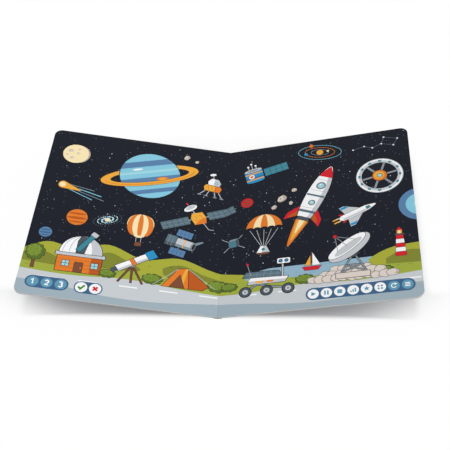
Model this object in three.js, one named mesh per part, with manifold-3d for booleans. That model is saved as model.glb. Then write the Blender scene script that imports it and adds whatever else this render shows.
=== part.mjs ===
// A children's picture book for a reader pen, lying open at its middle spread.
//
// The two halves of the book rise from the fold like a shallow V. Each half is a
// cover board with a stack of leaves on it, and a narrow spine board joins them
// underneath. The book rests on the flat back of its spine.
//
// Millimetres, +Z up. +X points to the right-hand page, +Y to the head of the book.
// The origin is on the table, under the middle of the fold.

import * as THREE from 'three';
import { mergeVertices } from 'three/addons/utils/BufferGeometryUtils.js';
import Module from 'manifold-3d';

const wasm = await Module();
wasm.setup();

// Leaf size and the shape of its corners
const PAGE_WIDTH = 240;
const PAGE_HEIGHT = 277;
const CORNER_RADIUS = 10;
const CORNER_STEPS = 10;

// Leaves that lie on each side of the open spread
const LEAVES_PER_SIDE = 6;
const LEAF_THICKNESS = 0.2;
const LEAF_EDGE_ROUND = 0.06;

// Cover boards, flush with the leaves
const COVER_THICKNESS = 0.9;
const COVER_EDGE_ROUND = 0.2;
const SCORE_FROM_EDGE = 6;
const SCORE_WIDTH = 1;
const SCORE_DEPTH = 0.3;

// Spine board, and the thin covering that laps out from it under both joints
const SPINE_THICKNESS = 0.9;
const JOINT_WIDTH = 5;
const LIP_THICKNESS = 0.3;
const LIP_GAP = 0.5;
const LIP_CURL_WIDTH = 0.6;
const LIP_CURL_RISE = 0.2;

// Clearances
const SPREAD_CLEARANCE = 0.15;
const STACK_CLEARANCE = 0.25;
const SPINE_CLEARANCE = 0.3;

// How far each half rises from flat
const OPEN_TILT_DEG = 11;

// Heights below the fold line, measured square to the page
const leavesTop = -SPREAD_CLEARANCE;
const leavesBottom = leavesTop - LEAVES_PER_SIDE * LEAF_THICKNESS;
const coverTop = leavesBottom - STACK_CLEARANCE;
const coverBottom = coverTop - COVER_THICKNESS;
const spineTop = leavesBottom - SPINE_CLEARANCE;
const spineBottom = spineTop - SPINE_THICKNESS;

// When the book is shut, its covers stand flush with the edges of the spine
const spineHalfWidth = -coverBottom;
const foldHeight = -spineBottom;

const RIGHT = 1;
const LEFT = -1;

const PAPER = new THREE.MeshStandardMaterial({ color: 0x20222c, roughness: 0.45, metalness: 0 });
const COVER_CARD = new THREE.MeshStandardMaterial({ color: 0x1f3350, roughness: 0.4, metalness: 0 });
const SPINE_CARD = new THREE.MeshStandardMaterial({ color: 0x1b2c46, roughness: 0.45, metalness: 0 });

// Outline of a leaf or board seen from above, from its straight spine edge at
// fromFold to its rounded fore-edge. Inset draws in the three free edges.
function leafOutline(fromFold, inset) {
  const outer = PAGE_WIDTH - inset;
  const top = PAGE_HEIGHT / 2 - inset;
  const radius = CORNER_RADIUS - inset;
  const points = [new THREE.Vector2(fromFold, -top)];
  for (const [cornerSide, startAngle] of [[-1, -Math.PI / 2], [1, 0]]) {
    for (let step = 0; step <= CORNER_STEPS; step += 1) {
      const angle = startAngle + (step / CORNER_STEPS) * (Math.PI / 2);
      points.push(new THREE.Vector2(
        outer - radius + radius * Math.cos(angle),
        cornerSide * (top - radius) + radius * Math.sin(angle),
      ));
    }
  }
  points.push(new THREE.Vector2(fromFold, top));
  return points;
}

// Closed solid through a pile of outlines that all have as many points.
// Each level is [height, outline], from the lowest to the highest.
function stackSolid(levels, side) {
  const count = levels[0][1].length;
  const positions = [];
  for (const [height, outline] of levels) {
    for (const point of outline) {
      positions.push(side * point.x, point.y, height);
    }
  }
  const faces = [];
  const caps = THREE.ShapeUtils.triangulateShape(levels[0][1], []);
  const topStart = (levels.length - 1) * count;
  for (const [a, b, c] of caps) {
    faces.push([a, c, b]);
    faces.push([topStart + a, topStart + b, topStart + c]);
  }
  for (let level = 0; level + 1 < levels.length; level += 1) {
    for (let index = 0; index < count; index += 1) {
      const next = (index + 1) % count;
      const low = level * count;
      const high = low + count;
      faces.push([low + index, low + next, high + next]);
      faces.push([low + index, high + next, high + index]);
    }
  }
  const geometry = new THREE.BufferGeometry();
  geometry.setAttribute('position', new THREE.Float32BufferAttribute(positions, 3));
  geometry.setIndex(faces.flatMap(([a, b, c]) => (side === RIGHT ? [a, b, c] : [a, c, b])));
  return geometry;
}

function toManifold(geometry) {
  const bare = geometry.clone();
  bare.deleteAttribute('normal');
  bare.deleteAttribute('uv');
  const merged = mergeVertices(bare);
  return new wasm.Manifold(new wasm.Mesh({
    numProp: 3,
    vertProperties: new Float32Array(merged.attributes.position.array),
    triVerts: new Uint32Array(merged.index.array),
  }));
}

function fromManifold(solid) {
  const mesh = solid.getMesh();
  const geometry = new THREE.BufferGeometry();
  geometry.setAttribute('position', new THREE.BufferAttribute(mesh.vertProperties, 3));
  geometry.setIndex(new THREE.BufferAttribute(mesh.triVerts, 1));
  return geometry;
}

// Extrudes a profile drawn in X and Z along the whole height of the book
function alongFold(shape, length) {
  const geometry = new THREE.ExtrudeGeometry(shape, { depth: length, bevelEnabled: false, curveSegments: 8 });
  geometry.rotateX(Math.PI / 2);
  geometry.translate(0, length / 2, 0);
  return geometry;
}

// The leaves of one half as one solid. Every leaf's free edges are slightly
// rounded, which leaves the fine lines that a stack of paper shows.
function leavesGeometry(side) {
  const levels = [];
  for (let leaf = 0; leaf < LEAVES_PER_SIDE; leaf += 1) {
    const low = leavesBottom + leaf * LEAF_THICKNESS;
    const high = low + LEAF_THICKNESS;
    if (leaf === 0) {
      levels.push([low, leafOutline(SPREAD_CLEARANCE, LEAF_EDGE_ROUND)]);
    }
    levels.push([low + LEAF_EDGE_ROUND, leafOutline(SPREAD_CLEARANCE, 0)]);
    levels.push([high - LEAF_EDGE_ROUND, leafOutline(SPREAD_CLEARANCE, 0)]);
    levels.push([high, leafOutline(SPREAD_CLEARANCE, LEAF_EDGE_ROUND)]);
  }
  return stackSolid(levels, side);
}

// Cover board with softened edges and a score line on its outer face, along
// the spine edge, where the covering is pressed in.
function coverGeometry(side) {
  const board = stackSolid([
    [coverBottom, leafOutline(JOINT_WIDTH, COVER_EDGE_ROUND)],
    [coverBottom + COVER_EDGE_ROUND, leafOutline(JOINT_WIDTH, 0)],
    [coverTop - COVER_EDGE_ROUND, leafOutline(JOINT_WIDTH, 0)],
    [coverTop, leafOutline(JOINT_WIDTH, COVER_EDGE_ROUND)],
  ], side);
  const middle = side * (JOINT_WIDTH + SCORE_FROM_EDGE);
  const groove = new THREE.Shape();
  groove.moveTo(middle - SCORE_WIDTH, coverBottom - SCORE_DEPTH);
  groove.lineTo(middle + SCORE_WIDTH, coverBottom - SCORE_DEPTH);
  groove.lineTo(middle, coverBottom + SCORE_DEPTH);
  groove.closePath();
  return fromManifold(toManifold(board).subtract(toManifold(alongFold(groove, 2 * PAGE_HEIGHT))));
}

// Spine board with the thin covering that laps out from its back edges under
// the two joints. The covering lies flat and curls up at its two long edges.
function spineGeometry() {
  const tip = JOINT_WIDTH - LIP_GAP;
  const flatEnd = tip - LIP_CURL_WIDTH;
  const bend = (flatEnd + tip) / 2;
  const lipTop = spineBottom + LIP_THICKNESS;
  const shape = new THREE.Shape();
  shape.moveTo(-flatEnd, spineBottom);
  shape.lineTo(flatEnd, spineBottom);
  shape.quadraticCurveTo(bend, spineBottom, tip, spineBottom + LIP_CURL_RISE);
  shape.lineTo(tip, lipTop + LIP_CURL_RISE);
  shape.quadraticCurveTo(bend, lipTop, flatEnd, lipTop);
  shape.lineTo(spineHalfWidth, lipTop);
  shape.lineTo(spineHalfWidth, spineTop);
  shape.lineTo(-spineHalfWidth, spineTop);
  shape.lineTo(-spineHalfWidth, lipTop);
  shape.lineTo(-flatEnd, lipTop);
  shape.quadraticCurveTo(-bend, lipTop, -tip, lipTop + LIP_CURL_RISE);
  shape.lineTo(-tip, spineBottom + LIP_CURL_RISE);
  shape.quadraticCurveTo(-bend, spineBottom, -flatEnd, spineBottom);
  return alongFold(shape, PAGE_HEIGHT);
}

function part(name, geometry, material) {
  const mesh = new THREE.Mesh(geometry, material);
  mesh.name = name;
  return mesh;
}

// One half of the book, tilted up about the fold
function half(side, coverName, leavesName) {
  const group = new THREE.Group();
  group.rotation.y = -side * THREE.MathUtils.degToRad(OPEN_TILT_DEG);
  group.add(part(coverName, coverGeometry(side), COVER_CARD));
  group.add(part(leavesName, leavesGeometry(side), PAPER));
  return group;
}

const book = new THREE.Group();
book.position.z = foldHeight;
book.add(part('spine', spineGeometry(), SPINE_CARD));
book.add(half(LEFT, 'front_cover', 'left_pages'));
book.add(half(RIGHT, 'back_cover', 'right_pages'));

const model = new THREE.Group();
model.add(book);

export default model;
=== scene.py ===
"""Looks of an open picture book for a reader pen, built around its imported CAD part.

The print is geometry: every motif is a flat outline in millimetres, and all outlines
are cut together into one printed sheet per page, so that each ink keeps sharp edges.
Spread coordinates: x runs from the fold (left page negative), y up from the foot.
"""

import math
import random

import bpy
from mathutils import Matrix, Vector
from mathutils.geometry import delaunay_2d_cdt


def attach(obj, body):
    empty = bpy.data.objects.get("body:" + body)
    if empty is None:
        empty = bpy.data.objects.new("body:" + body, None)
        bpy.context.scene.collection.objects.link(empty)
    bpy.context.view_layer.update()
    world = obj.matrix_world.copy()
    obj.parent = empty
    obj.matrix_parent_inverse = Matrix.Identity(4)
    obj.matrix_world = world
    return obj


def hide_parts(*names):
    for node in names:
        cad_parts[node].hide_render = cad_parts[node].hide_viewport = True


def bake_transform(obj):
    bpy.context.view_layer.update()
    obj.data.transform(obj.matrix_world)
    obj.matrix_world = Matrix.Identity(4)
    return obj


MM = 0.001
LEFT, RIGHT = -1, 1
BODIES = {LEFT: "front_half", RIGHT: "back_half"}
COVERS = {LEFT: "front_cover", RIGHT: "back_cover"}
LEAVES = {LEFT: "left_pages", RIGHT: "right_pages"}

# Sizes of the part, in millimetres, with heights measured square to the page
PAGE_WIDTH = 240
PAGE_HEIGHT = 277
CORNER_RADIUS = 10
CORNER_STEPS = 24
TILT = math.radians(11)
FOLD_HEIGHT = 2.55
LEAVES_PER_SIDE = 6
LEAF_THICKNESS = 0.2
LEAF_EDGE_ROUND = 0.06
SHEET_TOP = -0.15
LEAVES_BOTTOM = SHEET_TOP - LEAVES_PER_SIDE * LEAF_THICKNESS
CREASE_WIDTH = 0.8
CREASE_GAP = 0.05
JOINT_WIDTH = 5
COVER_BOTTOM = -2.5
SPINE_HALF_WIDTH = 2.5
SPINE_THICKNESS = 0.9
COVERING_THICKNESS = 0.3
COVERING_LIFT = 0.03

# Inks, as sRGB colours
INKS = {
    "sky": 0x161A24,
    "star": 0xD9DEE6,
    "faint_star": 0x677082,
    "line": 0x1E2128,
    "white": 0xF4F5F6,
    "light_grey": 0xC3C7CB,
    "mid_grey": 0x8C959C,
    "dark_grey": 0x4B545D,
    "slate": 0x5C737F,
    "slate_light": 0x7C929D,
    "pale_blue": 0x85C6DC,
    "mid_blue": 0x5980A8,
    "pad_bar": 0x3D6286,
    "pad_blue": 0x5F97B3,
    "bright_blue": 0x2A8FC4,
    "teal": 0x3B8496,
    "water": 0x92B4C7,
    "water_line": 0x7C9FB4,
    "road": 0xC6CBCF,
    "border": 0x9EAFB9,
    "hill": 0xA6A93A,
    "hill_shade": 0x7F8532,
    "grass": 0x9DAA41,
    "bush": 0x7C9438,
    "bush_shade": 0x586F2B,
    "orange": 0xE07B2C,
    "orange_shade": 0xB9581F,
    "gold": 0xEBA93F,
    "cream": 0xF6E3B4,
    "sand": 0xDBD0C7,
    "sand_shade": 0xB9AA9F,
    "brown": 0x7B4B34,
    "red": 0xD0242F,
    "tick_green": 0x3F8A24,
    "teal_glass": 0x9FD4DE,
}

# Every shape of the print as an ink and an outline, the lowest first
SHAPES = []


def srgb(code):
    """Linear RGBA of an sRGB colour code."""
    channels = [(code >> shift & 255) / 255 for shift in (16, 8, 0)]
    return [c / 12.92 if c <= 0.04045 else ((c + 0.055) / 1.055) ** 2.4 for c in channels] + [1]


# Outlines


def place(x=0, y=0, turn=0, size=1):
    """Maps a motif's own coordinates onto the spread."""
    cos, sin = math.cos(math.radians(turn)), math.sin(math.radians(turn))

    def at(p):
        return x + size * (cos * p[0] - sin * p[1]), y + size * (sin * p[0] + cos * p[1])

    return at


HERE = place()


def within(at, spot):
    """Maps a shape by spot first, and then by at."""
    return lambda p: at(spot(p))


def oval(cx, cy, rx, ry=None, turn=0, first=0, last=360, steps=None):
    """Ellipse, or a part of one from angle first to angle last."""
    ry = rx if ry is None else ry
    whole = last - first == 360
    steps = steps or max(8, int(6 + 6.6 * math.sqrt(max(rx, ry)) * (last - first) / 360))
    at = place(cx, cy, turn)
    count = steps if whole else steps + 1
    angles = [math.radians(first + (last - first) * i / steps) for i in range(count)]
    return [at((rx * math.cos(a), ry * math.sin(a))) for a in angles]


def box(x0, y0, x1, y1):
    return [(x0, y0), (x1, y0), (x1, y1), (x0, y1)]


def bar(x0, y0, x1, y1, radius):
    """Rectangle with rounded corners."""
    corners = [(x1, y0, -90), (x1, y1, 0), (x0, y1, 90), (x0, y0, 180)]
    points = []
    for x, y, first in corners:
        cx = x - radius if x == x1 else x + radius
        cy = y - radius if y == y1 else y + radius
        points += oval(cx, cy, radius, first=first, last=first + 90, steps=8)
    return points


def area(points):
    total = 0
    for (ax, ay), (bx, by) in zip(points, points[1:] + points[:1]):
        total += ax * by - bx * ay
    return total / 2


# Least squared length of a corner's mean normal, which keeps its mitre short
MITRE_LIMIT = 0.3


def shifted(points, reach, closed):
    """Each point moved sideways by reach, with mitred corners of limited length."""
    count = len(points)
    moved = []
    for i, (x, y) in enumerate(points):
        before = points[i - 1] if closed or i else None
        after = points[(i + 1) % count] if closed or i + 1 < count else None
        normals = []
        for a, b in ((before, (x, y)), ((x, y), after)):
            if a and b:
                dx, dy = b[0] - a[0], b[1] - a[1]
                size = math.hypot(dx, dy) or 1
                normals.append((dy / size, -dx / size))
        nx = sum(n[0] for n in normals) / len(normals)
        ny = sum(n[1] for n in normals) / len(normals)
        square = max(nx * nx + ny * ny, MITRE_LIMIT)
        moved.append((x + reach * nx / square, y + reach * ny / square))
    return moved


def grown(points, reach):
    points = points if area(points) > 0 else points[::-1]
    return shifted(points, reach, closed=True)


def stroke(points, width):
    """Outline of an open line of that width."""
    return shifted(points, width / 2, closed=False) + shifted(points, -width / 2, closed=False)[::-1]


def smooth_point(a, b, c, d, t):
    """Point on the smooth line from b to c, at share t of the way; a and d are their neighbours."""
    return tuple(
        0.5 * (2 * b[k] + (c[k] - a[k]) * t + (2 * a[k] - 5 * b[k] + 4 * c[k] - d[k]) * t**2
               + (3 * b[k] - a[k] - 3 * c[k] + d[k]) * t**3)
        for k in (0, 1)
    )


def curve(points, steps=6, closed=False):
    """Smooth line through the points."""
    before, after = (points[-1:], points[:2]) if closed else (points[:1], points[-1:])
    chain = before + points + after
    out = []
    for i in range(len(chain) - 3):
        out += [smooth_point(*chain[i : i + 4], s / steps) for s in range(steps)]
    return out if closed else out + [points[-1]]


def puffs(cx, cy, rx, ry, count, depth=0.16, turn=0):
    """Cloud-like outline with rounded lobes."""
    points = []
    for i in range(count * 6):
        a = 2 * math.pi * i / (count * 6)
        swell = 1 - depth + depth * abs(math.sin(count * a / 2))
        points.append((cx + rx * swell * math.cos(a + turn), cy + ry * swell * math.sin(a + turn)))
    return points


# Laying inks on the sheet


def lay(ink, points, at=HERE):
    """Adds a filled shape to the print, over all that is there."""
    SHAPES.append((ink, [at(p) for p in points]))


def draw(ink, points, at=HERE, edge=0.75):
    """A shape with a dark contour round it."""
    lay("line", grown(points, edge), at)
    lay(ink, points, at)


def rule(ink, points, width, at=HERE):
    """An open line of that width."""
    lay(ink, stroke(points, width), at)


def strut(ink, points, width, outer_width, at):
    """An open line with a dark contour."""
    rule("line", points, outer_width, at)
    rule(ink, points, width, at)


# Sky

STAR_COUNT = 900
BRIGHT_STAR_STEP = 9


def stars(rng):
    for i in range(STAR_COUNT):
        x = rng.uniform(-236, 236)
        y = rng.uniform(62, 273)
        bright = i % BRIGHT_STAR_STEP == 0
        ink = "star" if bright else "faint_star"
        size = rng.uniform(0.4, 0.7) if bright else rng.uniform(0.35, 0.65)
        lay(ink, oval(x, y, size, steps=6, turn=rng.uniform(0, 60)))


def constellation(at):
    dots = [(0, 0), (14, 6), (25, 3), (36, 10), (52, 7), (56, 19), (38, 22)]
    for a, b in list(zip(dots, dots[1:])) + [(dots[6], dots[3])]:
        rule("faint_star", [a, b], 0.5, at)
    for x, y in dots:
        lay("star", oval(x, y, 1.3, steps=10), at)


def ringed_planet(at):
    """Banded planet with a ring that passes behind it and in front."""
    radius = 40
    rim, hollow = (66, 17), (53, 11)
    back = oval(0, 0, *rim, first=0, last=180, steps=40)
    back += oval(0, 0, *hollow, first=180, last=0, steps=36)
    lay("gold", back, at)
    draw("pale_blue", oval(0, 0, radius, steps=72), at, edge=0.9)
    bands = [(-31, -24, "mid_blue"), (-12, -3, "mid_blue"), (5, 9, "teal_glass"), (17, 27, "mid_blue")]
    for low, high, ink in bands:
        start, end = (math.degrees(math.asin(v / radius)) for v in (low, high))
        right_side = oval(0, 0, radius - 0.01, first=start, last=end, steps=8)
        left_side = oval(0, 0, radius - 0.01, first=180 - end, last=180 - start, steps=8)
        lay(ink, right_side + left_side, at)
    lay("white", oval(-14, 13, 7, 1.6), at)
    lay("orange", oval(15, -8, 8, 3.4), at)
    lay("gold", oval(15, -8, 5, 1.9), at)
    front = oval(0, 0, *rim, first=180, last=360, steps=40)
    front += oval(0, 0, *hollow, first=360, last=180, steps=36)
    draw("gold", front, at, edge=0.5)
    for tip in (-59.5, 59.5):
        lay("gold", box(tip - 6, -1.2, tip + 6, 1.2), at)
    groove = oval(0, 0, 60, 14.2, first=182, last=358, steps=40)
    rule("orange", groove, 1.1, at)


def cratered_moon(at):
    draw("cream", oval(0, 0, 17, steps=48), at)
    shade = oval(0, 0, 17, first=-70, last=110, steps=30) + oval(3, 0, 16.2, first=108, last=-62, steps=30)
    lay("sand_shade", shade, at)
    for x, y, r in ((-7, 5, 3.2), (-4, -8, 2.4), (3, 1, 2), (-11, -3, 1.5), (4, 9, 1.7)):
        lay("sand_shade", oval(x, y, r, r * 0.85), at)
        lay("sand", oval(x + 0.5, y - 0.4, r * 0.72, r * 0.6), at)


def comet(at):
    streaks = [
        (5.4, 40, "slate_light", 0.9),
        (2.2, 52, "pale_blue", 1.2),
        (-1.4, 58, "slate_light", 0.9),
        (-4.8, 44, "pale_blue", 1),
    ]
    for y, length, ink, width in streaks:
        rule(ink, [(3, y * 0.7), (length, y * 1.5)], width, at)
    head = [(-7, 0), (-3, 5.8), (8, 4), (24, 0.5), (8, -4), (-3, -5.8)]
    draw("gold", curve(head, closed=True), at, edge=0.6)
    lay("cream", oval(-1.4, 0, 4.1), at)


def galaxy(at):
    """Two-armed spiral of dots round a bright middle."""
    for i in range(46):
        turn, reach = 14 * i, 2 + 0.42 * i
        for flip in (0, 180):
            a = math.radians(turn + flip)
            size = 1.25 - 0.019 * i
            ink = ("white", "pale_blue", "teal_glass")[i % 3] if i < 30 else "faint_star"
            lay(ink, oval(reach * math.cos(a), 0.5 * reach * math.sin(a), size, steps=8), at)
    lay("cream", oval(0, 0, 3.6, 2.4), at)


def orbits(at):
    """A sun with three planets on their paths."""
    paths = [
        (12, 5.2, "slate_light", 30, "cream", 1.7),
        (20, 9, "orange", 205, "bright_blue", 2.5),
        (29, 13.2, "pale_blue", 118, "orange", 2.9),
    ]
    for rx, ry, ink, _, _, _ in paths:
        rule(ink, oval(0, 0, rx, ry, first=1, last=359, steps=48), 0.6, at)
    draw("gold", oval(0, 0, 4.6), at, edge=0.4)
    for rx, ry, _, angle, ink, size in paths:
        a = math.radians(angle)
        lay(ink, oval(rx * math.cos(a), ry * math.sin(a), size), at)


def small_planet(at, ink, shade, radius):
    draw(ink, oval(0, 0, radius, steps=36), at)
    for y, share in ((0.45, 0.12), (-0.1, 0.16), (-0.6, 0.1)):
        half = radius * math.sqrt(1 - y * y) * 0.93
        lay(shade, oval(0, y * radius, half, share * radius), at)


def asteroid(at, rng, radius):
    points = []
    for i in range(11):
        a = 2 * math.pi * i / 11
        r = radius * rng.uniform(0.78, 1.08)
        points.append((r * math.cos(a), 0.8 * r * math.sin(a)))
    draw("sand_shade", points, at, edge=0.5)
    lay("sand", [(0.72 * x - 0.1 * radius, 0.66 * y + 0.14 * radius) for x, y in points], at)
    lay("mid_grey", oval(-0.25 * radius, 0.15 * radius, 0.22 * radius, 0.17 * radius), at)
    lay("mid_grey", oval(0.3 * radius, -0.1 * radius, 0.15 * radius), at)


def solar_wing(at, x0, x1, half, cells, ink="slate", line="line"):
    """Long solar panel along x, ruled into cells."""
    draw(ink, box(x0, -half, x1, half), at, edge=0.6)
    for i in range(1, cells):
        x = x0 + (x1 - x0) * i / cells
        rule(line, [(x, -half), (x, half)], 0.5, at)
    rule("slate_light", [(x0, half * 0.4), (x1, half * 0.4)], 0.5, at)
    rule("slate_light", [(x0, -half * 0.45), (x1, -half * 0.45)], 0.5, at)


def gold_probe(at):
    solar_wing(at, 13, 50, 6.2, 5)
    solar_wing(at, -50, -13, 6.2, 5)
    rule("mid_grey", [(-14, 0), (14, 0)], 1.8, at)
    draw("gold", [(-8, -9), (7, -10), (10, -1), (8, 9), (-6, 10), (-10, 2)], at)
    lay("orange", [(-8, -9), (7, -10), (10, -1), (0, -3)], at)
    for x, y in ((-4, 4), (2, 5), (-5, -1), (4, 0)):
        rule("brown", [(x, y), (x + 3, y - 2.4)], 0.5, at)
    rule("light_grey", [(-2, 9), (-4, 17)], 1.1, at)
    draw("white", oval(-4.5, 19, 9.5, 4.4, turn=14), at)
    lay("light_grey", oval(-4, 20, 7.3, 2.8, turn=14), at)
    rule("mid_grey", [(-4, 20), (-6.5, 27)], 0.8, at)
    lay("red", oval(-6.5, 27.4, 1.5), at)
    rule("light_grey", [(3, -9), (6, -21)], 0.8, at)
    rule("light_grey", [(6, -21), (12, -24)], 0.8, at)


def drum_probe(at):
    solar_wing(at, 14, 46, 7, 4, ink="teal")
    draw("bright_blue", box(-12, -10, 12, 10), at)
    draw("light_grey", oval(0, 10, 12, 3.2), at, edge=0.6)
    lay("mid_grey", oval(0, 10, 8, 1.9), at)
    lay("bright_blue", oval(0, -10, 12, 2.8, first=180, last=360), at)
    for y, ink in ((-8, "gold"), (3, "gold"), (-5, "pad_bar")):
        lay(ink, box(-12, y, 12, y + 2), at)
    draw("white", oval(-4, -1, 4), at, edge=0.5)
    lay("orange", oval(-4, -1, 2.4), at)
    for x, height in ((-5, 19), (0, 23), (5, 18)):
        rule("light_grey", [(x, 11), (x, height)], 0.9, at)
        lay("white", oval(x, height, 1.5), at)


def space_telescope(at):
    """Tube telescope with an open lid and a solar panel on each side."""
    for side in (-1, 1):
        rule("mid_grey", [(-2, side * 9), (-2, side * 13)], 1.4, at)
        draw("mid_blue", box(-14, side * 20.5 - 7, 12, side * 20.5 + 7), at, edge=0.6)
        for x in (-7.5, -1, 5.5):
            rule("pad_bar", [(x, side * 20.5 - 7), (x, side * 20.5 + 7)], 0.6, at)
        rule("pad_bar", [(-14, side * 20.5), (12, side * 20.5)], 0.6, at)
    draw("slate_light", [(20, 8.6), (31, 17), (33, 15), (23, 4)], at, edge=0.6)
    draw("light_grey", box(-10, -9, 20, 9), at)
    lay("slate_light", box(-10, -9, 20, -3.6), at)
    draw("slate", box(-27, -11, -10, 11), at)
    lay("dark_grey", box(-27, -11, -10, -4.4), at)
    for x in (-22, -16):
        rule("slate_light", [(x, -11), (x, 11)], 0.8, at)
    draw("mid_grey", oval(20, 0, 3.4, 9), at, edge=0.6)
    lay("line", oval(20.4, 0, 2.3, 7), at)
    rule("gold", [(4, -9), (4, 9)], 1.6, at)


def cube_probe(at):
    """Small cube with four whip aerials."""
    for x, y in ((-16, 13), (16, 13), (-16, -13), (16, -13)):
        rule("light_grey", [(x * 0.3, y * 0.3), (x, y)], 0.7, at)
    draw("slate", [(-7, -7), (5, -7), (5, 5), (-7, 5)], at, edge=0.5)
    draw("slate_light", [(-7, 5), (5, 5), (9, 8.6), (-3, 8.6)], at, edge=0.5)
    draw("dark_grey", [(5, -7), (9, -3.4), (9, 8.6), (5, 5)], at, edge=0.5)
    for x, y in ((-5.4, -5.4), (-0.4, -5.4), (-5.4, -0.4), (-0.4, -0.4)):
        lay("teal", box(x, y, x + 3.8, y + 3.8), at)


def lander(at):
    """Moon lander on four splayed legs."""
    for x, foot in ((-7, -15), (7, 15), (-3, -6), (3, 6)):
        strut("light_grey", [(x, -3), (foot, -14)], 1.1, 2.2, at)
        draw("mid_grey", oval(foot, -14.6, 2.8, 1), at, edge=0.4)
    draw("gold", [(-10, -5), (10, -5), (12, 2), (9, 6), (-9, 6), (-12, 2)], at)
    lay("orange", [(2, -5), (10, -5), (12, 2), (9, 6), (4, 6)], at)
    for x in (-7, -2, 3):
        rule("brown", [(x, 4.5), (x + 2, -3.5)], 0.45, at)
    draw("light_grey", [(-7, 6), (8, 6), (9, 12), (5, 18), (-4, 18), (-8, 12)], at)
    lay("white", [(-7, 6), (0, 6), (0, 18), (-4, 18), (-8, 12)], at)
    draw("teal_glass", [(1, 10), (5, 10), (3.4, 14.4)], at, edge=0.4)
    rule("light_grey", [(-2, 18), (-3, 24)], 0.8, at)
    draw("white", oval(-4, 25, 4.4, 2.2, turn=24), at, edge=0.4)


def spaceplane(at):
    """Small winged craft seen from above, nose to the right."""
    for side in (-1, 1):
        wing = [(8, side * 3), (-12, side * 19), (-19, side * 19), (-16, side * 3)]
        draw("light_grey", wing, at, edge=0.6)
        lay("bright_blue", [(-11, side * 18), (-18, side * 18), (-17.6, side * 14), (-7, side * 14)], at)
        draw("red", [(-14, side * 2), (-22, side * 8), (-25, side * 8), (-22, side * 2)], at, edge=0.5)
    hull = [(-23, -4.2), (8, -4.8), (20, -3), (27, 0), (20, 3), (8, 4.8), (-23, 4.2)]
    draw("white", curve(hull, steps=4, closed=True), at, edge=0.6)
    lay("light_grey", [(-22, -3.8), (8, -4.4), (20, -2.6), (18, -1), (-22, -1)], at)
    draw("teal", [(13, -2.2), (18, -1.6), (18, 1.6), (13, 2.2)], at, edge=0.4)
    for y in (-2.6, 2.6):
        rule("gold", [(-27, y), (-36, y)], 2, at)
        rule("cream", [(-26, y), (-31, y)], 1, at)


def wheel_station(at):
    """Space station shaped like a wheel with six spokes."""
    for angle in range(0, 180, 60):
        strut("mid_grey", [(-30, 0), (30, 0)], 3, 4.4, within(at, place(turn=angle)))
    rim = [oval(0, 0, r, steps=72) for r in (33.9, 33, 25.4, 24.6)]
    ring(at, "line", rim[0], rim[3])
    ring(at, "light_grey", rim[1], rim[2])
    ring(at, "white", oval(0, 0, 32, steps=72), oval(0, 0, 29.5, steps=72))
    for angle in range(15, 360, 30):
        lay("teal", box(26.8, -2.3, 30.2, 2.3), within(at, place(turn=angle)))
    draw("orange", oval(0, 0, 10, steps=40), at)
    lay("gold", oval(-0.8, 0.8, 7.4, steps=36), at)
    lay("line", oval(0, 0, 3.9), at)
    lay("teal_glass", oval(0, 0, 3.1), at)


def ring(at, ink, outer, inner):
    """Band between two closed outlines with as many points, as two halves."""
    half = len(outer) // 2
    for first in (0, half):
        loop = outer + outer[:1]
        hole = inner + inner[:1]
        lay(ink, loop[first : first + half + 1] + hole[first : first + half + 1][::-1], at)


def rocket(at):
    """Stout flying rocket, nose up, with its flame below."""
    for ink, reach, half in (("orange", 46, 8.5), ("gold", 36, 6), ("cream", 24, 3.4)):
        left = [(-half, -42), (-half * 0.9, -50), (-half * 0.45, -42 - reach * 0.75)]
        right = [(0, -42 - reach), (half * 0.4, -42 - reach * 0.7), (half * 0.9, -50), (half, -42)]
        lay(ink, curve(left + right, steps=4), at)
    for side in (-1, 1):
        fin = [(side * 9, -18), (side * 23, -36), (side * 24, -48), (side * 9.5, -38)]
        draw("red", fin, at)
        lay("orange_shade", [(side * 9, -27), (side * 18, -38), (side * 20, -44), (side * 9.5, -38)], at)
    body = [(0, 52), (6, 42), (10.5, 26), (12.5, 6), (12, -18), (9, -38)]
    left_side = [(-x, y) for x, y in body[:0:-1]]
    outline = curve(left_side + body, steps=5)
    draw("white", outline, at, edge=0.9)
    shade = curve(body, steps=5) + curve([(4, -38), (6, -18), (6.6, 6), (5, 26), (0, 52)], steps=5)
    lay("light_grey", shade, at)
    nose_right = curve([(0, 52), (6, 42), (9, 32.6)], steps=5)
    nose_left = curve([(-9, 32.6), (-6, 42), (0, 52)], steps=5)
    lay("red", nose_right + nose_left[:-1], at)
    for y in (8, 27, -22):
        rule("mid_grey", [(-10.4, y), (10.4, y)], 0.45, at)
    for low, high in ((-2, 1), (-30, -26)):
        lay("slate", box(-12.1 + abs(low) * 0.05, low, 12.1 - abs(low) * 0.05, high), at)
    for y, r in ((17, 5.6), (-13, 4)):
        draw("mid_grey", oval(0, y, r), at, edge=0.6)
        lay("teal_glass", oval(0, y, r * 0.72), at)
        lay("white", oval(-r * 0.25, y + r * 0.25, r * 0.2), at)
    draw("dark_grey", [(-7, -38), (7, -38), (8.4, -43), (-8.4, -43)], at, edge=0.5)


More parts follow.
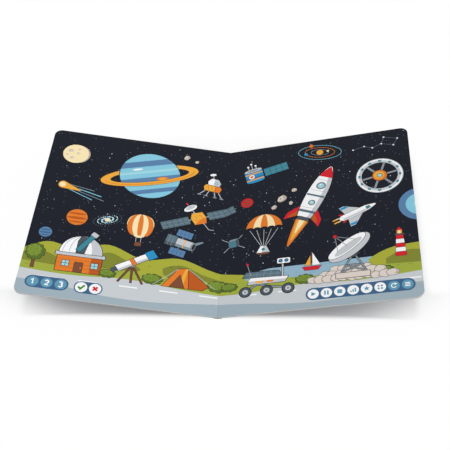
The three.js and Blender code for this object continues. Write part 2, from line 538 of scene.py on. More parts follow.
def parachute(at):
    """Capsule that hangs from a striped parachute."""
    for x in (-21, -11, 0, 11, 21):
        rule("light_grey", [(x, 26), (x * 0.14, -6)], 0.6, at)
    canopy = oval(0, 24, 23, 22, first=0, last=180, steps=30)
    draw("orange", canopy, at)
    for low, high in ((0.2, 0.6), (-0.2, -0.6)):
        gore = oval(0, 24, 23 * low, 22, first=0, last=90, steps=14)
        other = oval(0, 24, 23 * high, 22, first=90, last=0, steps=14)
        lay("cream", gore + other, at)
    for x in (-18.4, -9.2, 0, 9.2, 18.4):
        lay("sky", oval(x, 23.3, 4.6, 2.6, steps=14), at)
    draw("light_grey", [(-3.5, -6), (3.5, -6), (8.5, -17), (-8.5, -17)], at)
    lay("white", [(-3.5, -6), (0, -6), (-1.5, -17), (-8.5, -17)], at)
    draw("brown", oval(0, -17, 8.5, 2.6, first=180, last=360, steps=14), at, edge=0.5)
    lay("teal", oval(0, -11.5, 2.2), at)


def balloon(at):
    """Hot-air balloon with upright stripes."""
    right_side = [(0, 20), (13, 15), (17, 2), (10, -12), (3.5, -18)]
    left_side = [(-x, y) for x, y in right_side[:0:-1]]
    draw("cream", curve(right_side + left_side, closed=True), at)
    for share in (-0.78, 0.0, 0.78):
        strip = []
        for side in (-1, 1):
            reach = 17 * (share + side * 0.19)
            angles = [math.radians(a) for a in range(8, 156, 14)]
            edge = [(reach * math.sin(a) ** 0.8, 20 - 38 * (1 - math.cos(a)) / 2) for a in angles]
            strip += edge if side < 0 else edge[::-1]
        lay("orange", strip, at)
    for x in (-3.2, 3.2):
        rule("light_grey", [(x, -18), (x * 0.9, -26)], 0.6, at)
    draw("brown", bar(-4, -32, 4, -26, 1), at, edge=0.5)


# Ground

# The outlines of the ground run this far from the fold, a little past the pages' edges
BLEED = 244


def hills():
    ridge = [(-BLEED, 66), (-214, 82), (-178, 76), (-140, 88), (-96, 72), (-52, 80), (-8, 66), (44, 57)]
    lay("hill", curve(ridge) + [(44, 20), (-BLEED, 20)])
    hollows = [
        [(-BLEED, 58), (-226, 68), (-204, 62), (-186, 50), (-BLEED, 44)],
        [(-160, 60), (-140, 76), (-118, 68), (-98, 54), (-150, 48)],
        [(-70, 62), (-48, 70), (-24, 60), (0, 52), (-60, 48)],
    ]
    for points in hollows:
        lay("hill_shade", curve(points, closed=True))


def water():
    lay("water", [(20, 30), (BLEED, 30), (BLEED, 66), (60, 65), (36, 60)])
    rng = random.Random(4)
    for _ in range(26):
        x, y = rng.uniform(66, 216), rng.uniform(50, 63)
        rule("water_line", [(x, y), (x + rng.uniform(4, 10), y + rng.uniform(-0.4, 0.4))], 0.5)


def headland():
    lay("hill", curve([(180, 62), (196, 72), (216, 78), (BLEED, 80)]) + [(BLEED, 40), (180, 40)])
    lay("hill_shade", curve([(200, 60), (214, 68), (230, 70), (BLEED, 68)]) + [(BLEED, 50), (200, 52)])


def meadow():
    left = [(-BLEED, 50), (-190, 47), (-120, 52), (-60, 46)]
    right = [(0, 48), (60, 51), (110, 46), (170, 52), (BLEED, 50)]
    lay("grass", curve(left + right) + [(BLEED, 20), (-BLEED, 20)])


def road():
    """Road with a dashed middle line, and the waved border at the foot of the pages."""
    kerb = [(-BLEED, 38), (-180, 35), (-110, 39), (-40, 33), (30, 31), (100, 36), (170, 33), (BLEED, 38)]
    lay("road", curve(kerb) + [(BLEED, -4), (-BLEED, -4)])
    for x in range(-216, 220, 48):
        lay("white", [(x, 27.2), (x + 22, 27), (x + 22, 28.8), (x, 29)])
    left = [(-BLEED, 22), (-200, 20), (-140, 11), (-80, 10), (-20, 16)]
    right = [(0, 18), (40, 15), (96, 9), (150, 10), (200, 19), (BLEED, 22)]
    lay("border", curve(left + right) + [(BLEED, -4), (-BLEED, -4)])


def tufts(rng):
    """Short blades of grass, in threes."""
    for _ in range(64):
        x, y = rng.uniform(-234, 234), rng.uniform(40, 66)
        over_water = y > 51 and 18 < x < 196
        if over_water:
            continue
        for lean in (-1, 0, 1):
            rule("bush_shade", [(x + lean * 0.9, y), (x + lean * 2, y + 2.4 - abs(lean) * 0.6)], 0.4)


def leaf_marks(at, x, y, wide, high, count):
    """Small arcs, set in a spiral, that stand for leaves."""
    for i in range(count):
        a, share = 2.4 * i, math.sqrt((i + 0.5) / count)
        spot = place(x + wide * share * math.cos(a), y + high * share * math.sin(a), 50 * math.sin(3 * i))
        rule("bush_shade", [spot(p) for p in oval(0, 0, 1.6, 1.2, first=190, last=350, steps=5)], 0.5, at)


def bush(at, size, rng):
    turn = rng.uniform(0, 6)
    draw("bush_shade", puffs(0, 0, 13 * size, 8 * size, 9, turn=turn), at, edge=0.55)
    lay("bush", puffs(-1.5 * size, 1.6 * size, 10 * size, 5.4 * size, 8, turn=turn), at)
    leaf_marks(at, -1.5 * size, 1.9 * size, 7.8 * size, 3.8 * size, 12)


def tree(at):
    draw("brown", [(-2, 0), (2, 0), (1.3, 16), (-1.3, 16)], at, edge=0.5)
    draw("bush_shade", puffs(0, 24, 12, 13, 10), at, edge=0.55)
    lay("bush", puffs(-1.6, 26, 9, 9.6, 9), at)
    leaf_marks(at, -1.6, 26.4, 7, 7.6, 16)


def observatory(at):
    draw("orange", box(-27, 0, 27, 24), at)
    lay("orange_shade", box(14, 0, 27, 24), at)
    for y in (6, 12, 18):
        rule("orange_shade", [(-27, y), (14, y)], 0.5, at)
        rule("brown", [(14, y), (27, y)], 0.4, at)
    draw("light_grey", box(-30, 24, 30, 29), at)
    draw("white", oval(0, 29, 26, 27, first=0, last=180, steps=40), at)
    shade = oval(0, 29, 26, 27, first=0, last=80, steps=20)
    shade += oval(0, 29, 13, 27, first=80, last=0, steps=20)
    lay("light_grey", shade, at)
    for share in (-0.86, -0.55):
        angles = [math.radians(a) for a in range(2, 89, 8)]
        rib = [(26 * share * math.cos(a), 29 + 27 * math.sin(a)) for a in angles]
        rule("mid_grey", rib, 0.6, at)
    slit = [(-6, 29.5), (4, 29.5), (8, 50), (4, 55), (-3, 55.6), (-6, 48)]
    draw("dark_grey", slit, at, edge=0.5)
    tube = within(at, place(0, 40, -32))
    draw("teal", box(-3.2, -8, 3.2, 26), tube, edge=0.6)
    draw("light_grey", box(-4.2, 21, 4.2, 27), tube, edge=0.5)
    draw("brown", bar(-5, 0, 5, 15, 1), at, edge=0.5)
    lay("gold", oval(3, 7, 0.9), at)
    for x in (-20, 15):
        draw("teal_glass", box(x, 8, x + 8, 16), at, edge=0.6)
        rule("line", [(x + 4, 8), (x + 4, 16)], 0.6, at)
        rule("line", [(x, 12), (x + 8, 12)], 0.6, at)


def telescope(at):
    """Telescope on three legs."""
    for foot in (-15, 1, 15):
        strut("brown", [(0, 27), (foot, 0)], 1.7, 3, at)
    draw("mid_grey", oval(0, 28, 4), at, edge=0.5)
    tube = within(at, place(0, 32, 34))
    draw("white", box(-22, -4.6, 20, 4.6), tube)
    lay("light_grey", box(-22, -4.6, 20, -1.4), tube)
    draw("bright_blue", box(20, -6.2, 31, 6.2), tube)
    draw("orange", box(-2, -5.2, 3, 5.2), tube, edge=0.5)
    draw("dark_grey", box(-29, -2.8, -22, 2.8), tube, edge=0.5)


def tent(at):
    draw("orange_shade", [(8, 30), (34, 6), (27, 0), (10, 0)], at)
    draw("orange", [(8, 30), (10, 0), (-22, 0), (-4, 28)], at)
    lay("gold", [(8, 30), (3, 0), (-3, 0), (5, 29.6)], at)
    draw("brown", [(-1, 20), (5, 0), (-13, 0)], at, edge=0.5)
    rule("light_grey", [(-4, 28), (-33, 0)], 0.6, at)
    rule("light_grey", [(8, 30), (42, 4)], 0.6, at)


def rover(at):
    """Six-wheeled rover with a camera mast."""
    strut("mid_grey", [(-26, 7), (-12, 17), (4, 12), (26, 8)], 2.2, 3.6, at)
    draw("light_grey", [(-24, 17), (22, 17), (26, 25), (-20, 27)], at)
    lay("white", [(-23, 22), (24, 21.6), (26, 25), (-20, 27)], at)
    draw("slate", [(-30, 28), (20, 26), (14, 35), (-26, 36)], at)
    for i in range(1, 6):
        x = -30 + 8.4 * i
        rule("slate_light", [(x, 27.8 - 0.25 * i), (x + 1.6, 35.6)], 0.6, at)
    rule("slate_light", [(-28, 32), (17, 30.6)], 0.6, at)
    strut("light_grey", [(19, 25), (19, 46)], 1.8, 3.2, at)
    draw("white", bar(12, 45, 28, 53, 2), at)
    for x in (16.2, 23.4):
        lay("line", oval(x, 49, 2.7), at)
        lay("bright_blue", oval(x, 49, 1.6), at)
    rule("mid_grey", [(-20, 30), (-25, 48)], 0.9, at)
    lay("red", oval(-25, 48.6, 1.7), at)
    lay("gold", box(-14, 18.5, -4, 21.5), at)
    lay("orange", box(0, 18.5, 8, 21.5), at)
    for x in (-26, 0, 26):
        for ink, radius in (("line", 8), ("dark_grey", 7), ("light_grey", 3.6), ("mid_grey", 1.6)):
            lay(ink, oval(x, 6.6, radius), at)


def radio_dish(at):
    """Large dish aerial on a braced stand."""
    draw("sand", box(-20, -2, 22, 6), at)
    braces = [
        [(-14, 6), (2, 34)],
        [(18, 6), (4, 34)],
        [(-8, 17), (12, 17)],
        [(-13, 7), (12, 17)],
        [(17, 7), (-8, 17)],
    ]
    for brace in braces:
        strut("mid_grey", brace, 1.7, 2.9, at)
    draw("dark_grey", oval(2, 36, 6), at, edge=0.6)
    draw("light_grey", oval(-2, 46, 13, 32, turn=-52), at)
    draw("white", oval(-5, 48.6, 8.6, 29.6, turn=-52), at, edge=0.6)
    lay("light_grey", oval(-3.4, 47.2, 5, 22, turn=-52), at)
    for reach in (-15, 0, 15):
        foot = place(-5, 48.6, -52)((0, reach))
        rule("mid_grey", [foot, (-20, 66)], 0.9, at)
    lay("line", oval(-20, 66, 3.3), at)
    lay("red", oval(-20, 66, 2.5), at)


def lighthouse(at):
    for i, ink in enumerate(("red", "white", "red", "white", "red")):
        low, high = 8 * i, 8 * i + 8
        half_low, half_high = 8 - 0.075 * low, 8 - 0.075 * high
        draw(ink, [(-half_low, low), (half_low, low), (half_high, high), (-half_high, high)], at, edge=0.5)
    draw("dark_grey", box(-7, 40, 7, 42.4), at, edge=0.5)
    draw("gold", box(-3.8, 42.4, 3.8, 49), at, edge=0.5)
    lay("cream", box(-1.5, 42.4, 1.5, 49), at)
    draw("red", [(-5, 49), (5, 49), (0, 55)], at, edge=0.5)


def rocks(at, rng):
    """Low heap of pale boulders."""
    for y, count, size in ((13, 5, 6), (6, 8, 7), (-1, 11, 6.5)):
        for i in range(count):
            x = (i - (count - 1) / 2) * 9.4 + rng.uniform(-1.5, 1.5)
            wide, high = size * rng.uniform(0.95, 1.25), size * rng.uniform(0.7, 0.95)
            on_rock = within(at, place(x, y + rng.uniform(-1, 1), rng.uniform(-12, 12)))
            draw("sand", puffs(0, 0, wide, high, 5, depth=0.1, turn=rng.uniform(0, 6)), on_rock, edge=0.5)
            shade = oval(0, 0, wide * 0.86, high * 0.82, first=-60, last=30, steps=8)
            inner = oval(-0.2 * wide, 0.2 * high, wide * 0.74, high * 0.7, first=30, last=-60, steps=8)
            lay("sand_shade", shade + inner, on_rock)


def sailing_boat(at):
    draw("red", [(-11, 3), (12, 3), (8, -2.4), (-8, -2.4)], at, edge=0.5)
    rule("brown", [(0, 3), (0, 25)], 0.8, at)
    draw("white", [(1.2, 4.4), (1.2, 24), (10.5, 5)], at, edge=0.5)
    draw("gold", [(-1.2, 5), (-1.2, 20), (-8, 5)], at, edge=0.5)


# Printed pads at the foot of the pages


# Plain figures 1, 2 and 3, each as open lines about the pad's middle
FIGURES = [
    [[(-2, 2), (0.4, 4), (0.4, -4)]],
    [oval(0, 1.7, 2.4, first=160, last=-35, steps=10) + [(-2.4, -3.6), (2.8, -3.6)]],
    [
        oval(-0.2, 2, 2.1, first=150, last=-80, steps=10),
        oval(-0.2, -1.9, 2.4, first=80, last=-150, steps=10),
    ],
]

# Plain signs of the eight pads in the strip, each as outlines about the pad's middle
SIGNS = [
    [[(-2.6, -3.6), (4, 0), (-2.6, 3.6)]],
    [bar(x - 1.1, -3.6, x + 1.1, 3.6, 0.4) for x in (-2, 2)],
    [bar(-3.3, -3.3, 3.3, 3.3, 0.8)],
    [box(x - 1, -3.4, x + 1, height - 3.4) for x, height in ((-3, 2.2), (0, 4.4), (3, 6.6))],
    [[place(turn=90 + 36 * i)(((4.4, 2)[i % 2], 0)) for i in range(10)]],
    [oval(x, y, 1.5, steps=14) for x, y in ((-2.2, -2.2), (2.2, -2.2), (-2.2, 2.2), (2.2, 2.2))],
    [stroke(oval(0, 0, 3.3, first=60, last=330, steps=24), 1.3), [(0.4, 4.6), (5, 3.4), (1.6, 0.6)]],
    [bar(-3.6, y - 0.75, 3.6, y + 0.75, 0.5) for y in (-2.6, 0, 2.6)],
]
WHITE_PADS = 6


def pads():
    row = place(-204, 19.5, size=0.88)
    lay("pad_bar", bar(-29.2, -10, 29.2, 10, 9.9), row)
    for x, figure in zip((-18.8, 0, 18.8), FIGURES):
        lay("pad_blue", oval(x, 0, 8, steps=36), row)
        for points in figure:
            rule("white", points, 2, within(row, place(x)))
    pair = place(-155, 19.2, size=0.88)
    lay("pad_bar", bar(-19.3, -9.8, 19.3, 9.8, 9.7), pair)
    for x in (-9.4, 9.4):
        lay("white", oval(x, 0, 8.2, steps=36), pair)
    rule("tick_green", [(-13.6, 0.6), (-10.4, -2.8), (-4.9, 3.8)], 2.9, pair)
    for y in (-3, 3):
        rule("red", [(6.4, -y), (12.4, y)], 3, pair)
    strip = place(168, 19.5, size=0.84)
    lay("pad_bar", bar(-75, -10.4, 75, 10.4, 10.3), strip)
    for i, sign in enumerate(SIGNS):
        x = 18.4 * (i - 3.5)
        pad, ink = ("white", "pad_blue") if i < WHITE_PADS else ("pad_blue", "white")
        lay(pad, oval(x, 0, 7.9, steps=36), strip)
        for points in sign:
            lay(ink, points, within(strip, place(x)))


def spread():
    """Everything printed on the two pages, the lowest ink first."""
    rng = random.Random(11)
    stars(rng)
    constellation(place(168, 248, -8))
    cratered_moon(place(-206, 236))
    ringed_planet(place(-104, 214, 18))
    comet(place(-212, 178, -18))
    gold_probe(place(-34, 150, 24))
    drum_probe(place(36, 226, 14))
    small_planet(place(-186, 126), "orange", "orange_shade", 13)
    small_planet(place(28, 178), "red", "brown", 8)
    small_planet(place(-220, 96), "mid_blue", "pad_bar", 8)
    space_telescope(place(-52, 105, -14, 0.76))
    cube_probe(place(13, 111, 10, 0.85))
    asteroids = [(74, 178, 7), (90, 190, 4), (64, 164, 4.4), (86, 168, 3.4), (-58, 256, 5), (-44, 250, 3)]
    for x, y, radius in asteroids:
        asteroid(place(x, y, rng.uniform(0, 90)), rng, radius)
    rocket(place(118, 176, -24))
    wheel_station(place(200, 196, 12, 0.9))
    galaxy(place(-148, 128, 20))
    orbits(place(124, 253, -10))
    lander(place(-20, 205, -8))
    lay("mid_blue", oval(246, 140, 26, steps=56))
    lay("pale_blue", oval(246, 140, 17.5, steps=44))
    lay("teal_glass", oval(246, 140, 8, steps=36))
    spaceplane(place(170, 139, 24, 0.92))
    parachute(place(52, 108))
    balloon(place(-106, 124))
    hills()
    water()
    headland()
    meadow()
    road()
    tufts(rng)
    sailing_boat(place(112, 58))
    lighthouse(place(218, 62, size=0.8))
    tree(place(-226, 40))
    observatory(place(-172, 40))
    bushes = [(-136, 44, 0.8), (-82, 44, 1), (-2, 44, 1.1), (12, 42, 0.8), (104, 43, 0.9), (198, 44, 0.8)]
    for x, y, size in bushes:
        bush(place(x, y), size, rng)
    telescope(place(-108, 34))
    tent(place(-48, 36))
    rover(place(58, 26))
    rocks(place(160, 40), rng)
    radio_dish(place(160, 40, size=0.95))
    pads()


# Sheets of paper

# The cut keeps only the triangles inside the shapes, and merges points that lie nearer than this
INSIDE_SHAPES = 1
MERGE_DISTANCE = 1e-5


def page_outline(from_fold, inset):
    """Outline of a leaf from the fold outwards, counter-clockwise, with rounded outer corners."""
    outer = PAGE_WIDTH - inset
    head = PAGE_HEIGHT - inset
    radius = CORNER_RADIUS - inset
    points = [(from_fold, inset)]
    points += oval(outer - radius, inset + radius, radius, first=-90, last=0, steps=CORNER_STEPS)
    points += oval(outer - radius, head - radius, radius, first=0, last=90, steps=CORNER_STEPS)
    points.append((from_fold, head))
    return points


def on_half(side, u, y, height):
    """Row-frame point, in metres, of a place on one half of the open book."""
    x = side * (u * math.cos(TILT) - height * math.sin(TILT))
    z = FOLD_HEIGHT + u * math.sin(TILT) + height * math.cos(TILT)
    return Vector((x, y - PAGE_HEIGHT / 2, z)) * MM


def shapes_on_page(side):
    """Inks and outlines that touch one page, measured from the fold, with the bare sheet first."""
    found = [("sky", page_outline(CREASE_GAP, LEAF_EDGE_ROUND))]
    for ink, points in SHAPES:
        flipped = [(side * x, y) for x, y in points]
        low, high = min(p[0] for p in flipped), max(p[0] for p in flipped)
        if high > 0 and low < PAGE_WIDTH:
            found.append((ink, flipped if area(flipped) > 0 else flipped[::-1]))
    return found


def printed_sheet(side):
    """Cuts all the shapes that touch one page into triangles, each with its topmost ink."""
    shapes = shapes_on_page(side)
    verts, faces = [], []
    for _, points in shapes:
        faces.append(list(range(len(verts), len(verts) + len(points))))
        verts += [Vector(p) for p in points]
    crease = [Vector((CREASE_WIDTH, 0)), Vector((CREASE_WIDTH, PAGE_HEIGHT))]
    edges = [(len(verts), len(verts) + 1)]
    cut = delaunay_2d_cdt(verts + crease, edges, faces, INSIDE_SHAPES, MERGE_DISTANCE)
    cut_verts, _, cut_faces, _, _, sources = cut
    order, triangles = {}, []
    for corners, numbers in zip(cut_faces, sources):
        on_sheet = 0 in numbers
        if on_sheet:
            ink = shapes[max(numbers)][0]
            triangles.append(([order.setdefault(v, len(order)) for v in corners], ink))
    return [tuple(cut_verts[v]) for v in order], triangles


def add_object(name, verts, faces, materials, picks):
    """New object with flat faces; picks gives each face's place in the list of materials."""
    mesh = bpy.data.meshes.new(name)
    mesh.from_pydata(verts, [], faces)
    for material in materials:
        mesh.materials.append(material)
    mesh.polygons.foreach_set("material_index", picks)
    mesh.update()
    obj = bpy.data.objects.new(name, mesh)
    bpy.context.scene.collection.objects.link(obj)
    return obj


def leaf_walls(side, verts):
    """Rounded edges and underside of one half's leaves, whose points are added to verts."""
    levels = [(LEAVES_BOTTOM, LEAF_EDGE_ROUND)]
    for leaf in range(LEAVES_PER_SIDE):
        low = LEAVES_BOTTOM + leaf * LEAF_THICKNESS
        high = low + LEAF_THICKNESS
        levels += [(low + LEAF_EDGE_ROUND, 0), (high - LEAF_EDGE_ROUND, 0), (high, LEAF_EDGE_ROUND)]
    rows = []
    for height, inset in levels:
        outline = page_outline(-SHEET_TOP, inset)
        rows.append(list(range(len(verts), len(verts) + len(outline))))
        verts += [on_half(side, u, y, height) for u, y in outline]
    walls = []
    for low, high in zip(rows, rows[1:]):
        for i in range(len(low)):
            k = (i + 1) % len(low)
            walls.append([low[i], low[k], high[k], high[i]])
    walls.append(rows[0][::-1])
    return walls


def page_stack(side, inks, paper):
    """Leaves of one half: the printed sheet on top, and the leaf edges and underside below it."""
    flat, triangles = printed_sheet(side)
    names = sorted({ink for _, ink in triangles})
    materials = [inks[n] for n in names] + [paper]
    verts = [on_half(side, u, y, SHEET_TOP * min(u / CREASE_WIDTH, 1)) for u, y in flat]
    walls = leaf_walls(side, verts)
    faces = [corners for corners, _ in triangles] + walls
    faces = faces if side == RIGHT else [face[::-1] for face in faces]
    picks = [names.index(ink) for _, ink in triangles] + [len(names)] * len(walls)
    obj = add_object(f"{LEAVES[side]}_print", verts, faces, materials, picks)
    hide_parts(LEAVES[side])
    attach(obj, BODIES[side])


# Nodes


def add_node(tree, kind, inputs, **settings):
    """New node with its settings, and with its inputs set to values or linked to sockets."""
    node = tree.nodes.new(kind)
    for name, value in settings.items():
        setattr(node, name, value)
    for name, value in inputs.items():
        if isinstance(value, bpy.types.NodeSocket):
            tree.links.new(value, node.inputs[name])
        else:
            node.inputs[name].default_value = value
    return node


def maths(tree, operation, *terms):
    node = add_node(tree, "ShaderNodeMath", dict(enumerate(terms)), operation=operation)
    return node.outputs["Value"]


def spread_out(tree, value, low, high):
    """Value from 0 to 1, laid out from low to high."""
    node = add_node(tree, "ShaderNodeMapRange", {"Value": value, "To Min": low, "To Max": high})
    return node.outputs["Result"]


def ramp(tree, value, first, last, low=0, high=1):
    """Rises smoothly from low, where the value is first, to high, where it is last."""
    limits = {"Value": value, "From Min": first, "From Max": last, "To Min": low, "To Max": high}
    node = add_node(tree, "ShaderNodeMapRange", limits, interpolation_type="SMOOTHSTEP")
    return node.outputs["Result"]


# Materials

COVER_COLOUR = srgb(0x1F3350)
COVER_ROUGHNESS = 0.38
SPINE_COLOUR = srgb(0x1B2C46)
SPINE_ROUGHNESS = 0.42
LEAF_EDGE_COLOUR = srgb(0xDAD9D5)
LEAF_EDGE_ROUGHNESS = 0.6
INK_ROUGHNESS = 0.5
INK_SPECULAR = 0.08
BOARD_CORE_COLOUR = srgb(0xC4C4C1)
# Faces of a board that lean further than this from its flat sides are its cut edges
CUT_EDGE_FLATNESS = 0.78
# Texture scales per metre: fibres of the card, and the clouding of its colour and gloss
FIBRE_SCALE = 900
CLOUD_SCALE = 28
TINT_RANGE = (0.9, 1.1)
GLOSS_SPREAD = 0.06
FIBRE_RELIEF = 0.1 * MM


def plain(name, colour, roughness, specular=0.5):
    material = bpy.data.materials.new(name)
    material.use_nodes = True
    shader = material.node_tree.nodes["Principled BSDF"]
    shader.inputs["Base Color"].default_value = colour
    shader.inputs["Roughness"].default_value = roughness
    shader.inputs["Specular IOR Level"].default_value = specular
    return material


def card(name, colour, roughness):
    """Laminated card: a fine fibre grain in its surface, and a soft clouding of its colour and gloss."""
    material = plain(name, colour, roughness)
    tree = material.node_tree
    shader = tree.nodes["Principled BSDF"]
    where = add_node(tree, "ShaderNodeTexCoord", {}).outputs["Object"]
    fibres = add_node(tree, "ShaderNodeTexNoise", {"Vector": where, "Scale": FIBRE_SCALE, "Detail": 3})
    clouding = add_node(tree, "ShaderNodeTexNoise", {"Vector": where, "Scale": CLOUD_SCALE, "Detail": 4})
    cloud = clouding.outputs["Fac"]
    tint = spread_out(tree, cloud, *TINT_RANGE)
    shade = add_node(tree, "ShaderNodeVectorMath", {0: colour[:3], "Scale": tint}, operation="SCALE")
    gloss = spread_out(tree, cloud, roughness - GLOSS_SPREAD, roughness + GLOSS_SPREAD)
    relief = {"Strength": 0.12, "Distance": FIBRE_RELIEF, "Height": fibres.outputs["Fac"]}
    bump = add_node(tree, "ShaderNodeBump", relief)
    tree.links.new(shade.outputs["Vector"], shader.inputs["Base Color"])
    tree.links.new(gloss, shader.inputs["Roughness"])
    tree.links.new(bump.outputs["Normal"], shader.inputs["Normal"])
    return material


def board(name, side):
    """Laminated card whose cut edges show the pale core of the board."""
    material = card(name, COVER_COLOUR, COVER_ROUGHNESS)
    tree = material.node_tree
    shader = tree.nodes["Principled BSDF"]
    laminate = shader.inputs["Base Color"].links[0].from_socket
    normal = add_node(tree, "ShaderNodeTexCoord", {}).outputs["Normal"]
    flat_side = (-side * math.sin(TILT), 0, math.cos(TILT))
    facing = add_node(tree, "ShaderNodeVectorMath", {0: normal, 1: flat_side}, operation="DOT_PRODUCT")
    flatness = maths(tree, "ABSOLUTE", facing.outputs["Value"])
    laminated = maths(tree, "GREATER_THAN", flatness, CUT_EDGE_FLATNESS)
    tones = {"Factor": laminated, "A": BOARD_CORE_COLOUR, "B": laminate}
    tone = add_node(tree, "ShaderNodeMix", tones, data_type="RGBA")
    tree.links.new(tone.outputs["Result"], shader.inputs["Base Color"])
    return material


# Spine board, and the covering strips that curve under both joints

# How far the covering's strip stops short of the head and the foot, and how far it laps under a
# cover and under the spine board
COVERING_INSET = 0.3
COVER_LAP = 0.6
SPINE_LAP = 0.4
SPINE_EDGE_ROUND = 0.25


def along_book(name, outline, half_length, material):
    """Solid strip along the book with this outline across, clockwise as seen from the foot."""
    verts = [Vector((x, y, z)) * MM for y in (-half_length, half_length) for x, z in outline]
    count = len(outline)
    faces = [[i, (i + 1) % count, count + (i + 1) % count, count + i] for i in range(count)]
    faces += [list(range(count))[::-1], list(range(count, 2 * count))]
    return add_object(name, verts, faces, [material], [0] * len(faces))


def spine_board(material):
    outline = bar(-SPINE_HALF_WIDTH, 0, SPINE_HALF_WIDTH, SPINE_THICKNESS, SPINE_EDGE_ROUND)
    obj = along_book("spine_board", outline[::-1], PAGE_HEIGHT / 2, material)
    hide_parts("spine")
    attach(obj, "spine")


def covering(side, material):
    """Strip from under the spine board's edge to the cover's back edge."""
    edge = on_half(side, JOINT_WIDTH + COVER_LAP, PAGE_HEIGHT / 2, COVER_BOTTOM + 0.28) / MM
    level = COVERING_LIFT + COVERING_THICKNESS
    inner = (side * (SPINE_HALF_WIDTH - SPINE_LAP), level)
    rail = curve([inner, (side * 3.6, level), (side * 4.6, level + 0.25), (edge.x, edge.z)], steps=8)
    rail = rail if side == RIGHT else rail[::-1]
    outline = rail + shifted(rail, COVERING_THICKNESS, closed=False)[::-1]
    obj = along_book(f"covering_{COVERS[side]}", outline, PAGE_HEIGHT / 2 - COVERING_INSET, material)
    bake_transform(obj)


# Stage

WHITE = (1, 1, 1, 1)
SKY_STRENGTH = 0.6
# Name, energy, width in degrees and direction of each lamp
LAMPS = [
    ("key", 0.87, 14, (0.05, 0, 1)),
    ("fill", 0.66, 40, (0.87, -0.1, 0.5)),
]
FLOOR_GREY = (0.8, 0.8, 0.8, 1)
FLOOR_REACH = 9
# Where painted white light on the floor hides its cast shadow, in metres: far off, from one share of an
# oval to another, then beside the pages, except at their foot, by the distance from the fold, and before
# the foot
SHADE_OVAL = (0.3, 0.16, 1)
OVAL_SHARES = (0.85, 1.3)
SIDE_FADE = (0.236, 0.256)
SIDE_START = (-0.116, -0.086)
FOOT_FADE = (-0.128, -0.141)
# The least and the most of painted white light, the backdrop's white, that the floor takes on over its
# shade
PAINTED_LIGHT_SHARES = (0.1, 0.95)


def seen_rays(tree):
    """Socket that is 1 for rays from the camera, also by way of a reflection or through glass."""
    path = add_node(tree, "ShaderNodeLightPath", {})
    total = path.outputs["Is Camera Ray"]
    for name in ("Is Glossy Ray", "Is Transmission Ray"):
        total = maths(tree, "MAXIMUM", total, path.outputs[name])
    return total


def sky():
    """Even white sky, at full white only where it is seen."""
    world = bpy.data.worlds.new("studio")
    world.use_nodes = True
    bpy.context.scene.world = world
    tree = world.node_tree
    light = tree.nodes["Background"]
    light.inputs["Color"].default_value = WHITE
    light.inputs["Strength"].default_value = SKY_STRENGTH
    backdrop = add_node(tree, "ShaderNodeBackground", {"Color": WHITE, "Strength": 1})
    choice = {0: seen_rays(tree), 1: light.outputs["Background"], 2: backdrop.outputs["Background"]}
    both = add_node(tree, "ShaderNodeMixShader", choice)
    tree.links.new(both.outputs["Shader"], tree.nodes["World Output"].inputs["Surface"])


def lamps():
    """Soft key light from above and a softer fill from the right."""
    for name, energy, width, towards in LAMPS:
        lamp = bpy.data.lights.new(name, "SUN")
        lamp.energy = energy
        lamp.angle = math.radians(width)
        sun = bpy.data.objects.new(name, lamp)
        sun.rotation_euler = Vector(towards).to_track_quat("Z", "Y").to_euler()
        bpy.context.scene.collection.objects.link(sun)


def painted_light_mask(tree):
    """Mask of the painted white light that hides the floor's shade: rises to 1 far off, beside the pages
    and before their foot.
    """
    where = add_node(tree, "ShaderNodeTexCoord", {}).outputs["Object"]
    oblong = add_node(tree, "ShaderNodeVectorMath", {0: where, 1: SHADE_OVAL}, operation="DIVIDE")
    reach = add_node(tree, "ShaderNodeVectorMath", {0: oblong.outputs["Vector"]}, operation="LENGTH")
    far_off = ramp(tree, reach.outputs["Value"], *OVAL_SHARES)
    axes = add_node(tree, "ShaderNodeSeparateXYZ", {"Vector": where})
    sideways = ramp(tree, maths(tree, "ABSOLUTE", axes.outputs["X"]), *SIDE_FADE)
    past_foot = ramp(tree, axes.outputs["Y"], *SIDE_START)
    beside = maths(tree, "MULTIPLY", sideways, past_foot)
    before = ramp(tree, axes.outputs["Y"], *FOOT_FADE)
    return maths(tree, "MAXIMUM", maths(tree, "MAXIMUM", beside, before), far_off)


def studio_floor():
    """Pale floor that goes over into the white of the backdrop, with painted white light over the book's
    cast shadow: a little everywhere, and fully outside the book's shade.
    """
    material = plain("floor", FLOOR_GREY, 1, specular=0)
    tree = material.node_tree
    shader = tree.nodes["Principled BSDF"]
    seen = seen_rays(tree)
    tone = add_node(tree, "ShaderNodeMix", {"Factor": seen, "A": FLOOR_GREY, "B": WHITE}, data_type="RGBA")
    tree.links.new(tone.outputs["Result"], shader.inputs["Base Color"])
    # Painted white light over the cast shadow: a share of white glow for seen rays, shaped by place
    strength = ramp(tree, painted_light_mask(tree), 0, 1, *PAINTED_LIGHT_SHARES)
    backdrop = add_node(tree, "ShaderNodeEmission", {"Color": WHITE, "Strength": 1})
    share = maths(tree, "MULTIPLY", seen, strength)
    choice = {0: share, 1: shader.outputs["BSDF"], 2: backdrop.outputs["Emission"]}
    painted_light_mix = add_node(tree, "ShaderNodeMixShader", choice)
    tree.links.new(painted_light_mix.outputs["Shader"], tree.nodes["Material Output"].inputs["Surface"])
    reach = FLOOR_REACH
    corners = [(-reach, -reach, 0), (reach, -reach, 0), (reach, reach, 0), (-reach, reach, 0)]
    add_object("floor", corners, [[0, 1, 2, 3]], [material], [0])


# Camera, fitted to the outline of the book in the photograph

# In page heights: right of the fold, towards the head from the page's middle, and above the fold
CAMERA_PLACE = (0.3607, -2.6872, 3.084)
# Yaw, pitch and roll, in radians
CAMERA_TURNS = (-0.132, 0.8457, -0.0958)
FOCAL_PIXELS = 891.3
PICTURE_PIXELS = 450
SENSOR_WIDTH = 36


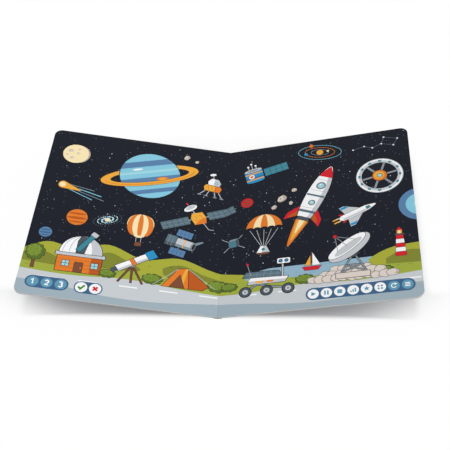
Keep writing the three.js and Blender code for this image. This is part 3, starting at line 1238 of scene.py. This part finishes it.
def camera_axes():
    """Directions to the right, up and forward of the camera."""
    yaw, pitch, roll = CAMERA_TURNS
    level_right = Vector((math.cos(yaw), -math.sin(yaw), 0))
    forward = Vector((math.sin(yaw) * math.cos(pitch), math.cos(yaw) * math.cos(pitch), -math.sin(pitch)))
    level_up = level_right.cross(forward)
    right = math.cos(roll) * level_right + math.sin(roll) * level_up
    return right, right.cross(forward), forward


def camera():
    page = PAGE_HEIGHT * MM
    across, along, above = (share * page for share in CAMERA_PLACE)
    spot = Vector((across, along, above + FOLD_HEIGHT * MM))
    right, up, forward = camera_axes()
    data = bpy.data.cameras.new("camera")
    data.sensor_width = SENSOR_WIDTH
    data.lens = SENSOR_WIDTH * FOCAL_PIXELS / PICTURE_PIXELS
    obj = bpy.data.objects.new("camera", data)
    matrix = obj.matrix_world.copy()
    for row in range(3):
        matrix[row] = (right[row], up[row], -forward[row], spot[row])
    obj.matrix_world = matrix
    bpy.context.scene.collection.objects.link(obj)
    bpy.context.scene.camera = obj


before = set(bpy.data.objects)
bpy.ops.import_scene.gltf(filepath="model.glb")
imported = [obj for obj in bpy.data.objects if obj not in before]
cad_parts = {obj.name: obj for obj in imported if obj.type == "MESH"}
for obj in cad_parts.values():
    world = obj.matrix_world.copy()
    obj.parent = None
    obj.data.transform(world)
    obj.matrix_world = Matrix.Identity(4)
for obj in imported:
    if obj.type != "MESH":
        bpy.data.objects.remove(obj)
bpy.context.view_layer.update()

bpy.context.scene.view_settings.view_transform = "Standard"
paper = plain("leaf_edge_paper", LEAF_EDGE_COLOUR, LEAF_EDGE_ROUGHNESS)
inks = {name: plain(f"ink_{name}", srgb(code), INK_ROUGHNESS, INK_SPECULAR) for name, code in INKS.items()}
cover_card = card("cover_card", COVER_COLOUR, COVER_ROUGHNESS)
spine_card = card("spine_card", SPINE_COLOUR, SPINE_ROUGHNESS)

spread()
for half_side in (LEFT, RIGHT):
    page_stack(half_side, inks, paper)
    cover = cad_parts[COVERS[half_side]]
    cover.data.materials.clear()
    cover.data.materials.append(board(f"{COVERS[half_side]}_board", half_side))
    covering(half_side, cover_card)
spine_board(spine_card)
sky()
lamps()
studio_floor()
camera()
